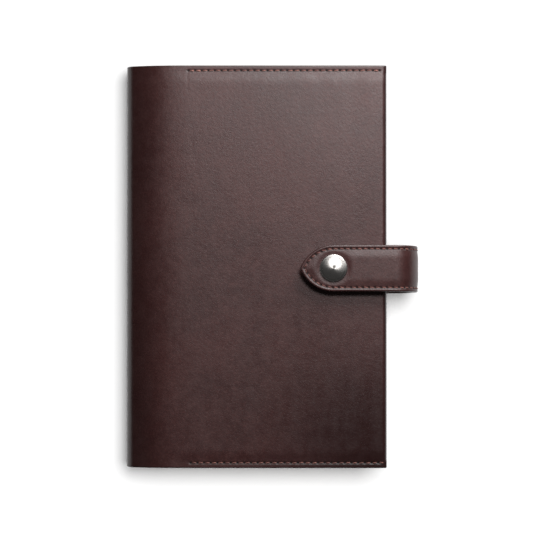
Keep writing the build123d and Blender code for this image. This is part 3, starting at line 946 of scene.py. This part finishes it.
def make_strap_seams():
    """The strap's seam on both faces, in the same three lengths as the leather."""
    bounds = (0.0, *STRAP_CUTS, STRAP_END)
    rng = random.Random(11)
    for parts, low, high, bend in zip(STRAP_PARTS, bounds, bounds[1:], STRAP_BENDS):
        points, faces = [], []
        for side in (1, -1):
            for hole, following in zip(STRAP_HOLES, STRAP_HOLES[1:]):
                middle = (hole[0] + following[0]) / 2
                if not low <= middle < high:
                    continue
                ends = tuple((u, side * v) for u, v in (hole, following))
                slant = 0.24 + rng.uniform(-0.05, 0.05)
                for lay in (on_strap, under_strap):
                    add_stitch(points, faces, ends, lay, 0.16, slant)
        obj = make_object(f"strap_thread_{parts[0]}", points, faces, [THREAD])
        nodes = [f"strap_{part}_stitches" for part in parts[1:] if part != "base"]
        place(obj, nodes, bend=bend)


def make_anchor_seam():
    """The box seam that holds the strap's end to the back cover."""
    points, faces = [], []
    rng = random.Random(5)

    def lay(u, v, height):
        return (u, v, 0.52 - height)

    low_y, high_y = ROOT_Y - ANCHOR_HALF, ROOT_Y + ANCHOR_HALF
    corners = [(ANCHOR_LOW_X, low_y), (ANCHOR_HIGH_X, low_y)]
    corners += [(ANCHOR_HIGH_X, high_y), (ANCHOR_LOW_X, high_y)]
    for start, end in zip(corners, corners[1:] + corners[:1]):
        count = round(dist(start, end) / STRAP_PITCH)
        holes = [tuple(Vector(start).lerp(Vector(end), i / count)) for i in range(count + 1)]
        for ends in zip(holes, holes[1:]):
            add_stitch(points, faces, ends, lay, 0.2, 0.14 + rng.uniform(-0.04, 0.04))
    obj = make_object("strap_anchor_seam", points, faces, [THREAD])
    place(obj, ["strap_anchor_stitches"], body="back_cover")


def make_seams():
    for turned, cover in COVERS:
        for row, end in zip(SEAM_ROWS, ("head", "tail")):
            make_cover_seam(turned, cover, row, end)
    make_strap_seams()
    make_anchor_seam()


# The snap: turned metal parts about one axis
TURNED_SIDES = 96
CAP_RADIUS = 7.4
CAP_HEIGHT = 2.0


def softened(profile, radius):
    """A profile with each inner corner rounded."""
    out = [profile[0]]
    for before, corner, after in zip(profile, profile[1:], profile[2:]):
        corner = Vector(corner)
        ends = []
        for other in (Vector(before), Vector(after)):
            away = other - corner
            ends.append(corner + away * min(0.45, radius / max(away.length, 1e-6)))
        for k in range(5):
            t = k / 4
            point = ends[0] * (1 - t) ** 2 + corner * (2 * t * (1 - t)) + ends[1] * t**2
            out.append(tuple(point))
    return out + [profile[-1]]


def turned_ring(points, reach, z):
    """Adds a circle of points about the snap's axis, and gives their indices."""
    first = len(points)
    for s in range(TURNED_SIDES):
        angle = 2 * pi * s / TURNED_SIDES
        points.append((SNAP_X + reach * cos(angle), STRAP_Y + reach * sin(angle), z))
    return list(range(first, first + TURNED_SIDES))


def lathe(name, base, profile, material, radius, painted_shades=None):
    """A closed turned solid from a profile of (radius, height above base), axis to axis, with painted shade
    by radius if asked.
    """
    profile = softened([(reach, base + height) for reach, height in profile], radius)
    points, dark, rings = [(SNAP_X, STRAP_Y, profile[0][1])], [0.0], []
    for reach, z in profile[1:-1]:
        rings.append(turned_ring(points, reach, z))
        dark += [painted_shades(reach) if painted_shades else 0.0] * TURNED_SIDES
    last = len(points)
    points.append((SNAP_X, STRAP_Y, profile[-1][1]))
    dark.append(0.0)
    faces = skin(rings)
    for s in range(TURNED_SIDES):
        after = (s + 1) % TURNED_SIDES
        faces.append((0, rings[0][after], rings[0][s]))
        faces.append((last, rings[-1][s], rings[-1][after]))
    return make_object(name, points, faces, [material], None, {"painted_shade": dark})


def ring_lathe(name, profile, material, radius):
    """A closed turned ring from a loop of (radius, z)."""
    loop = softened([*profile, profile[0], profile[1]], radius)[1:-1]
    points = []
    rings = [turned_ring(points, reach, z) for reach, z in loop]
    return make_object(name, points, skin([*rings, rings[0]]), [material])


def cap_painted_shade(reach):
    """Painted shade on the cap: a fine dark line near its rim, and the rim itself darkened."""
    return 0.35 * bell(reach - 6.2, 0.16) + 0.6 * smooth(reach, 7.05, 7.3)


def make_cap():
    """The domed cap on its shank."""
    reach, bulge = CAP_RADIUS - 0.3, 1.42
    curve = (reach**2 + bulge**2) / (2 * bulge)
    profile = [(0.0, CAP_HEIGHT)]
    for k in range(1, 22):
        r = reach * k / 21
        profile.append((r, CAP_HEIGHT - curve + sqrt(curve**2 - r**2)))
    profile += [(CAP_RADIUS - 0.08, 0.44), (CAP_RADIUS, 0.28), (CAP_RADIUS, 0.06)]
    profile += [(CAP_RADIUS - 0.12, -0.04), (6.7, -0.08), (1.9, -0.08)]
    profile += [(1.9, -2 * STRAP_LAYER - 0.4), (0.0, -2 * STRAP_LAYER - 0.4)]
    cap = lathe("snap_cap_dome", TAB_TOP, profile[::-1], NICKEL, 0.08, cap_painted_shade)
    place(cap, ["snap_cap"], body="strap_tab")


def make_socket():
    """The socket under the tab, and the wire spring in it."""
    under = TAB_UNDER + 0.02
    flange = [(2.0, under), (2.0, under - 0.42), (4.3, under - 0.45), (4.7, 22.5), (4.5, 22.22)]
    flange += [(3.45, 22.22), (3.45, 23.4), (5.0, 23.5), (5.1, under - 0.5), (6.2, under - 0.35)]
    flange += [(6.2, under)]
    socket = ring_lathe("snap_socket_ring", flange, DARK_NICKEL, 0.12)
    place(socket, ["snap_socket"], body="strap_tab")
    wire = []
    for k in range(12):
        angle = 2 * pi * k / 12
        wire.append((3.1 + 0.26 * cos(angle), 22.62 + 0.24 * sin(angle)))
    spring = ring_lathe("snap_spring_wire", wire, STEEL, 0.02)
    place(spring, ["snap_spring"], body="strap_tab")


def make_stud():
    """The stud on the front cover, and the post that rivets it from inside."""
    stud = [(0.0, -0.05), (5.5, -0.05), (5.5, 0.3), (5.1, 0.48), (2.9, 0.5), (2.72, 0.75)]
    stud += [(2.75, 1.15), (3.15, 1.35), (3.12, 1.95), (2.55, 2.48), (1.3, 2.5), (1.1, 2.28)]
    stud += [(0.5, 2.22), (0.0, 2.22)]
    head = lathe("snap_stud_head", THICKNESS, stud, NICKEL, 0.12)
    place(head, ["snap_stud"], body="front_cover")
    post = [(0.0, -0.25), (5.5, -0.25), (5.5, -0.02), (1.2, -0.02)]
    post += [(1.2, LEATHER + 1.6), (0.0, LEATHER + 1.6)]
    disc = lathe("snap_post_disc", THICKNESS - LEATHER, post, DARK_NICKEL, 0.06)
    place(disc, ["snap_post"], body="front_cover")


# The notebook
LEAF_GATHERS = 34
PAGE_CORNER = 3.0
CLOTH_THICKNESS = 0.44
CLOTH_HALF = 104.6
SPINE_BAR_SHORTER = 0.7


def make_slab(name, low, high, radius, material):
    """A box with rounded edges between two corners."""
    grown = bmesh.new()
    bmesh.ops.create_cube(grown, size=1.0)
    for vertex in grown.verts:
        for axis in range(3):
            middle = (low[axis] + high[axis]) / 2
            vertex.co[axis] = middle + vertex.co[axis] * (high[axis] - low[axis])
    bmesh.ops.bevel(grown, geom=grown.edges[:], offset=radius, segments=4, affect="EDGES")
    grown.verts.index_update()
    points = [tuple(vertex.co) for vertex in grown.verts]
    faces = [tuple(vertex.index for vertex in face.verts) for face in grown.faces]
    grown.free()
    return make_object(name, points, faces, [material])


def node_box(node):
    """A CAD node's corners in millimetres."""
    low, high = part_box(node)
    return [c / MM for c in low], [c / MM for c in high]


def make_leaves():
    """The page block, as gathered leaves whose edges don't quite line up."""
    low, high = node_box("notebook_pages")
    rng = random.Random(3)
    thick = (high[2] - low[2]) / LEAF_GATHERS
    points, faces, kinds = [], [], []
    for i in range(LEAF_GATHERS):
        z0 = low[2] + i * thick + 0.02
        z1 = low[2] + (i + 1) * thick - 0.02
        x1 = high[0] - rng.uniform(0.0, 0.22)
        y0 = low[1] + rng.uniform(0.0, 0.16)
        y1 = high[1] - rng.uniform(0.0, 0.16)
        x0 = low[0] + 0.5 * (2 * i / (LEAF_GATHERS - 1) - 1) ** 2
        outline = [(x0, y0)]
        for start, centre_y in ((-90, y0 + PAGE_CORNER), (0, y1 - PAGE_CORNER)):
            for k in range(9):
                angle = radians(start + 90 * k / 8)
                x = x1 - PAGE_CORNER + PAGE_CORNER * cos(angle)
                outline.append((x, centre_y + PAGE_CORNER * sin(angle)))
        outline.append((x0, y1))
        rings = []
        for z in (z0, z1):
            rings.append(list(range(len(points), len(points) + len(outline))))
            points += [(x, y, z) for x, y in outline]
        faces += [tuple(reversed(rings[0])), tuple(rings[1]), *skin(rings)]
        kinds += [0, 0] + [1] * len(outline)
    obj = make_object("notebook_leaves", points, faces, [PAGE, PAGE_EDGES], kinds)
    place(obj, ["notebook_pages"], body="back_cover")


def make_hinge_cloth(name, turned, bend):
    """The book cloth between a board and the notebook's spine."""
    line = [(17.4, 19.15), (13.6, 18.9), (9.6, 18.25), (5.6, 17.15), (2.4, 16.0)]
    line += [(0.6, 15.3), (-0.15, 14.3), (-0.2, 12.5), (-0.2, MIDDLE_Z)]
    knots = [Vector((NOTEBOOK_X + x, z)) for x, z in (line[0], *line, line[-1])]
    smooth_line = []
    for a, b, c, d in zip(knots, knots[1:], knots[2:], knots[3:]):
        for t in (0.0, 0.25, 0.5, 0.75):
            point = b * 2 + (c - a) * t + (a * 2 - b * 5 + c * 4 - d) * t**2
            smooth_line.append((point + (b * 3 - a - c * 3 + d) * t**3) / 2)
    smooth_line.append(knots[-1])
    points, rings = [], []
    rows = spaced(-CLOTH_HALF, CLOTH_HALF, 6) + [CLOTH_HALF]
    for k, centre in enumerate(smooth_line):
        ahead = smooth_line[min(k + 1, len(smooth_line) - 1)] - smooth_line[max(k - 1, 0)]
        normal = Vector((ahead.y, -ahead.x)).normalized() * CLOTH_THICKNESS / 2
        rings.append([])
        for sign, side_rows in ((1, rows), (-1, rows[::-1])):
            for y in side_rows:
                x, z = centre + normal * sign
                rings[-1].append(len(points))
                points.append((x, y, THICKNESS - z if turned else z))
    faces = skin(rings) + flipped(cap_quads(rings[0])) + cap_quads(rings[-1])
    obj = make_object(name, points, flipped(faces) if turned else faces, [CLOTH])
    place(obj, ["notebook_spine_board"], bend=bend)


def make_notebook():
    for _, side in COVERS:
        body = f"{side}_cover"
        board = make_slab(f"notebook_board_{side}", *node_box(f"notebook_{side}_board"), 0.35, CLOTH)
        place(board, [f"notebook_{side}_board"], body=body)
        node = f"notebook_{side}_endpaper"
        sheet = make_slab(f"notebook_endpaper_{side}", *node_box(node), 0.06, ENDPAPER)
        place(sheet, [node], body=body)
    low, high = node_box("notebook_spine_board")
    low[2] += SPINE_BAR_SHORTER
    high[2] -= SPINE_BAR_SHORTER
    spine = make_slab("notebook_spine_bar", low, high, 0.35, CLOTH)
    place(spine, ["notebook_spine_board"], body="spine")
    make_leaves()
    start, end = (NOTEBOOK_X, 16.2), (NOTEBOOK_X + 7.6, 18.0)
    for turned, side in COVERS:
        make_hinge_cloth(f"notebook_hinge_{side}", turned, spine_bend(turned, start, end))


# The studio
AMBIENT = 0.05


def only_on(light, objects):
    """Lets a light reach only these objects."""
    group = bpy.data.collections.new("lit_by_" + light.name)
    for obj in objects:
        group.objects.link(obj)
    light.light_linking.receiver_collection = group


def make_floor():
    """A plain white floor."""
    paint = Paint("studio_floor", Roughness=0.9, Base_Color=(0.9, 0.9, 0.9), Specular_IOR_Level=0.1)
    bpy.ops.mesh.primitive_plane_add(size=8.0, location=(0, 0, 0))
    floor = bpy.context.object
    floor.name = "studio_floor"
    floor.data.materials.append(paint.material)
    floor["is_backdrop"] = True
    return floor


def add_light(name, kind, power, toward):
    """A light that shines in a direction."""
    data = bpy.data.lights.new(name, kind)
    data.energy = power
    light = add_object(name, data)
    light.rotation_mode = "QUATERNION"
    light.rotation_quaternion = Vector(toward).to_track_quat("-Z", "Y")
    return light


def add_softbox(name, position, aim, size, power):
    """A soft rectangular light that faces a point and reaches only the object."""
    light = add_light(name, "AREA", power, Vector(aim) - Vector(position))
    light.location = position
    light.data.shape = "RECTANGLE"
    light.data.size, light.data.size_y = size
    only_on(light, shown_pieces())


def make_lights(floor):
    """Softboxes at the upper right and the left for the object, and a soft sun for the floor."""
    add_softbox("key", (0.20, 0.42, 0.24), (0.0, 0.03, 0.02), (0.30, 0.30), 4.2)
    add_softbox("head", (0.18, 0.40, 0.88), (0.02, 0.06, 0.02), (0.34, 0.24), 6.6)
    add_softbox("side", (-0.60, -0.05, 0.07), (-0.075, 0.0, 0.015), (0.60, 0.14), 0.36)
    overhead = add_light("overhead", "SUN", 4.0, (-0.25, -0.21, -0.90))
    overhead.data.angle = radians(52)
    only_on(overhead, [floor])

def make_world():
    """A faint light from all round, seen by the camera as white."""
    world = bpy.data.worlds.new("studio")
    bpy.context.scene.world = world
    world.use_nodes = True
    nodes, links = world.node_tree.nodes, world.node_tree.links
    seen = nodes.new("ShaderNodeLightPath").outputs["Is Camera Ray"]
    strength = nodes.new("ShaderNodeMapRange")
    strength.inputs["To Min"].default_value = AMBIENT
    links.new(seen, strength.inputs["Value"])
    links.new(strength.outputs["Result"], nodes["Background"].inputs["Strength"])
    nodes["Background"].inputs["Color"].default_value = (1.0, 1.0, 1.0, 1.0)


CAMERA_AT = Vector((-0.00253, -0.01237, 1.0625))
CAMERA_AIM = Vector((-0.00307, -0.00001, 0.0216))
LENS = 130.0


def make_camera():
    """Above the cover, close to straight down, as a long lens sees it."""
    data = bpy.data.cameras.new("camera")
    data.lens = LENS
    data.clip_start, data.clip_end = 0.01, 20.0
    camera = add_object("camera", data)
    camera.location = CAMERA_AT
    back = (CAMERA_AT - CAMERA_AIM).normalized()
    right = Vector((0, 1, 0)).cross(back).normalized()
    axes = Matrix((right, back.cross(right), back)).transposed()
    camera.rotation_mode = "QUATERNION"
    camera.rotation_quaternion = axes.to_quaternion()
    bpy.context.scene.camera = camera


make_covers()
make_strap()
make_seams()
make_cap()
make_socket()
make_stud()
make_notebook()
make_lights(make_floor())
make_world()
make_camera()
bpy.context.scene.view_settings.view_transform = "Standard"
bpy.context.scene.view_settings.look = "None"
